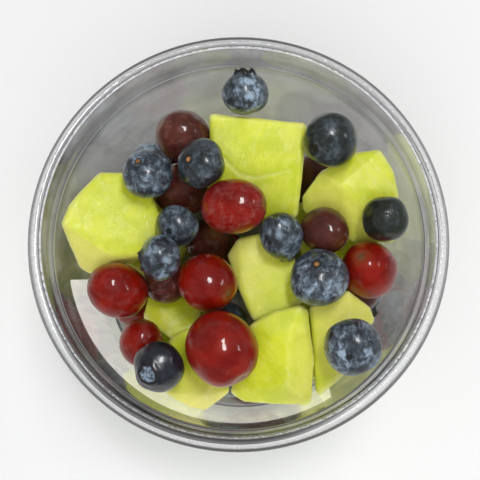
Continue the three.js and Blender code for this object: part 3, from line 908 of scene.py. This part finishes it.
def mean_of_neighbours(points, edges):
    total = np.zeros_like(points)
    for axis in range(points.shape[1]):
        total[:, axis] = (np.bincount(edges[:, 0], points[edges[:, 1], axis], len(points))
                          + np.bincount(edges[:, 1], points[edges[:, 0], axis], len(points)))
    return total / np.bincount(edges.ravel(), minlength=len(points))[:, None]


def eased(points, edges, passes):
    """Evens out small steps without drawing the corners in."""
    for share in (SMOOTH_IN, SMOOTH_OUT) * passes:
        points = points + share * (mean_of_neighbours(points, edges) - points)
    return points


def remeshed(node, voxel):
    """A copy of a solid as an even, closed mesh."""
    mesh = frame["nodes"][node].data.copy()
    piece = bpy.data.objects.new(node + "_flesh", mesh)
    bpy.context.scene.collection.objects.link(piece)
    solid = bmesh.new()
    solid.from_mesh(mesh)
    bmesh.ops.remove_doubles(solid, verts=solid.verts, dist=1e-6)
    solid.to_mesh(mesh)
    solid.free()
    piece.modifiers.new("even", "REMESH").voxel_size = voxel
    evaluated = piece.evaluated_get(bpy.context.evaluated_depsgraph_get())
    shaped = bpy.data.meshes.new_from_object(evaluated)
    piece.modifiers.clear()
    piece.data = shaped
    piece.data.name = piece.name
    bpy.data.meshes.remove(mesh)
    return piece


def distance_in_plan(points, path):
    """How far each point is from a line through the path's points, seen from above."""
    nearest = np.full(len(points), np.inf)
    for start, end in zip(np.array(path), np.array(path[1:])):
        way = end - start
        share = np.clip((points[:, :2] - start) @ way / (way @ way), 0, 1)
        gap = np.linalg.norm(points[:, :2] - start - share[:, None] * way, axis=1)
        nearest = np.minimum(nearest, gap)
    return nearest


def shape_melon(piece, seed, voxel):
    """Evens out a chunk and ripples it. Returns its points, its normals before the ripples
    and how much each point is on an edge, from 0 to 1."""
    edges = np.array([tuple(edge.vertices) for edge in piece.data.edges])
    points = eased(points_of(piece.data), edges, 3)
    set_points(piece.data, points)
    normals = normals_of(piece.data)
    inset = (mean_of_neighbours(points, edges) - points) * normals
    inset = inset.sum(1, keepdims=True)
    for _ in range(4):
        inset = mean_of_neighbours(inset, edges)
    wavy = ripples(points, 14 * MM, seed) * 0.08 * MM
    points = points + normals * wavy[:, None]
    set_points(piece.data, points)
    return points, normals, smoothstep(0.02, 0.09, -inset[:, 0] / voxel)


def make_melon(node, material, voxel, pale, deep=0.0, crease=()):
    """A chunk, paler on the side that pale tells, partly as paler flesh and partly as painted
    light, and darkened by painted shade on the other side as much as deep tells. A crease is a
    shallow line on its top, through points in millimetres."""
    seed = seed_of(node)
    rng = np.random.default_rng(seed)
    piece = remeshed(node, voxel)
    points, normals, edge = shape_melon(piece, seed, voxel)
    dress(piece, material, [node])
    direction, amount = pale
    direction = unit(direction)
    middle = points.mean(0)
    lengthwise = (points - middle) @ direction
    side = lengthwise / np.abs(lengthwise).max()
    facing = normals @ direction
    # Paler flesh and painted light on the pale side; painted shade on the other
    paint(piece, "pale", amount * smoothstep(0, 1.2, 0.7 * side + 0.7 * facing))
    paint(piece, "deep", deep * smoothstep(0.3, -0.8, side))
    folded = np.zeros(len(points))
    if crease:
        from_crease = distance_in_plan(points, np.array(crease) * MM)
        folded = np.exp(-(from_crease / (0.45 * MM)) ** 2)
        folded *= smoothstep(0.3, 0.7, normals[:, 2])
        set_points(piece.data, points - normals * 0.3 * MM * folded[:, None])
    # Painted highlight: ridges and the crease are painted paler
    paint(piece, "edge", np.maximum(0.6 * edge, 0.3 * folded))
    turn = np.linalg.qr(rng.normal(size=(3, 3)))[0]
    paint_place(piece, scattered((points - middle) @ turn, seed))


# ------------------------------------------------------------------- stage

def make_floor():
    size = 1.5
    corners = [(-size, -size, 0), (size, -size, 0), (size, size, 0), (-size, size, 0)]
    mesh = bpy.data.meshes.new("floor")
    mesh.from_pydata(corners, [], [(0, 1, 2, 3)])
    mesh.materials.append(floor_material())
    floor = bpy.data.objects.new("floor", mesh)
    bpy.context.scene.collection.objects.link(floor)


def aimed(away, distance):
    """Where a lamp or camera stands to look at the target from a direction."""
    right = Vector((0, 1, 0)).cross(away).normalized()
    turn = Matrix((right, away.cross(right), away)).transposed()
    return Matrix.Translation(CAMERA_TARGET + away * distance) @ turn.to_4x4()


def make_lamp(name, direction, distance, size, watts, mirrored=True):
    light = bpy.data.lights.new(name, "AREA")
    light.shape = "RECTANGLE"
    light.size, light.size_y = size
    light.energy = watts
    lamp = bpy.data.objects.new(name, light)
    lamp.visible_glossy = mirrored
    lamp.matrix_world = aimed(Vector(direction).normalized(), distance)
    bpy.context.scene.collection.objects.link(lamp)


def make_world():
    world = bpy.data.worlds.new("soft_room")
    bpy.context.scene.world = world
    world.use_nodes = True
    tree = world.node_tree
    tree.nodes.clear()
    height = add(tree, "SeparateXYZ", Vector=add(tree, "TexCoord").outputs["Generated"])
    level = stepped(tree, height.outputs["Z"], 0, 0.7)
    sky = blended(tree, level, (0.46, 0.46, 0.47, 1), (0.24, 0.24, 0.25, 1))
    background = add(tree, "Background", Color=sky, Strength=1.0)
    tree.links.new(background.outputs[0], add(tree, "OutputWorld").inputs["Surface"])


def make_camera():
    camera = bpy.data.objects.new("camera", bpy.data.cameras.new("camera"))
    away = Vector((
        math.sin(CAMERA_TILT) * math.sin(CAMERA_SWING),
        -math.sin(CAMERA_TILT) * math.cos(CAMERA_SWING),
        math.cos(CAMERA_TILT),
    ))
    camera.matrix_world = aimed(away, CAMERA_DISTANCE)
    camera.data.lens = CAMERA_LENS
    camera.data.sensor_width = 36
    camera.data.shift_x, camera.data.shift_y = CAMERA_SHIFT
    camera.data.clip_start = 0.01
    bpy.context.scene.collection.objects.link(camera)
    bpy.context.scene.camera = camera


# ---------------------------------------------------------------- assembly

# Where each chunk that shows is pale and how much, as paler flesh and painted light, and how much
# painted shade darkens its other side
MELON_LOOKS = {
    "melon_1": {"pale": ((-0.4, -0.8, -0.1), 0.9)},
    "melon_2": {"pale": ((0, 0.9, 0.3), 0.1), "deep": 0.6,
                "crease": ((-5, 26.3), (0.4, 21.1), (4.8, 20.2), (15.2, 22.1))},
    "melon_3": {"pale": ((-0.7, -0.5, 0.3), 0.6)},
    "melon_4": {"pale": ((-0.6, 0.7, 0.3), 0.9)},
    "melon_5": {"pale": ((0.8, -0.4, 0.2), 0.45), "deep": 0.25},
    "melon_6": {"pale": ((0.3, 0.3, 0.8), 0.7)},
    "melon_8": {"pale": ((0.1, -0.9, 0.2), 1)},
}
OTHER_MELON = {"pale": ((0.3, 0.2, -0.9), 0.6)}

# These grapes get the darker skin: partly darker grapes, partly painted shade where they lie deep
# in the heap
DARK_GRAPES = (1, 2, 3, 9, 11, 12, 13, 14, 15, 16, 18)
GRAPE_BLOOM = {
    "grape_1": 0.25,
    "grape_4": 0.35,
    "grape_7": 0.15,
    "grape_8": 0.2,
    "grape_12": 0.4,
}
OTHER_GRAPE_BLOOM = 0.06

# How each berry that shows looks. A dent has a direction from the middle and a size.
BERRY_LOOKS = {
    "blueberry_1": {"bloom": 1.5, "crown": 1.2, "green": 0.3},
    "blueberry_2": {"bloom": 0.42, "plug": 1, "green": 0.5},
    "blueberry_3": {"bloom": 1.0, "plug": 0.5, "ring": 0.6},
    "blueberry_4": {"bloom": 1.8},
    "blueberry_6": {"bloom": 0.9,
                    "dents": (((0.1, -0.5, 0.85), 1.4 * MM), ((-0.1, 0.6, 0.7), 1.2 * MM))},
    "blueberry_7": {"bloom": 1.0, "green": 0.4},
    "blueberry_8": {"bloom": 1.2, "plug": 0.8, "dents": (((-0.5, -0.1, 0.8), 1.1 * MM),)},
    "blueberry_9": {"bloom": 0.32, "green": 0.8,
                    "dents": (((-0.75, 0.1, 0.65), 1.4 * MM), ((-0.65, -0.5, 0.55), 1.3 * MM))},
    "blueberry_10": {"bloom": 0.12, "crown": 0.15, "green": 1},
    "blueberry_11": {"bloom": 1.3, "crown": 0.3},
    "blueberry_12": {"bloom": 0.05, "crown": 0.45, "well": 0.8},
}

make_camera()
make_world()
make_floor()
make_lamp("strip_lamp", (0.15, 0.2, 0.97), 1.1, (0.15, 0.4), 5)
make_lamp("side_lamp", (0.78, 0.15, 0.6), 1.1, (0.08, 0.25), 0.6)
make_lamp("soft_lamp", (-0.05, -0.55, 0.83), 1.3, (1.3, 1.3), 10.3, mirrored=False)

make_cup(clear_plastic_material())
make_label(label_material())

melon_flesh = melon_material()
red_skin = grape_material("red_grape_skin", colour(142, 22, 6), colour(116, 13, 5), 0.4)
dark_skin = grape_material("dark_grape_skin", colour(90, 44, 34), colour(70, 32, 26), 0.2)
berry_skin = blueberry_material()

for node in sorted(frame["nodes"]):
    kind, _, number = node.partition("_")
    if kind == "melon":
        voxel = FINE_VOXEL if int(number) <= SHOWN_MELONS else COARSE_VOXEL
        make_melon(node, melon_flesh, voxel, **MELON_LOOKS.get(node, OTHER_MELON))
    elif kind == "grape":
        dark = int(number) in DARK_GRAPES
        skin, slot = (dark_skin, "dark_grape") if dark else (red_skin, "red_grape")
        make_grape(node, skin, GRAPE_BLOOM.get(node, OTHER_GRAPE_BLOOM))
    elif kind == "blueberry":
        make_blueberry(node, berry_skin, **BERRY_LOOKS.get(node, {}))

bpy.context.scene.view_settings.view_transform = "Standard"
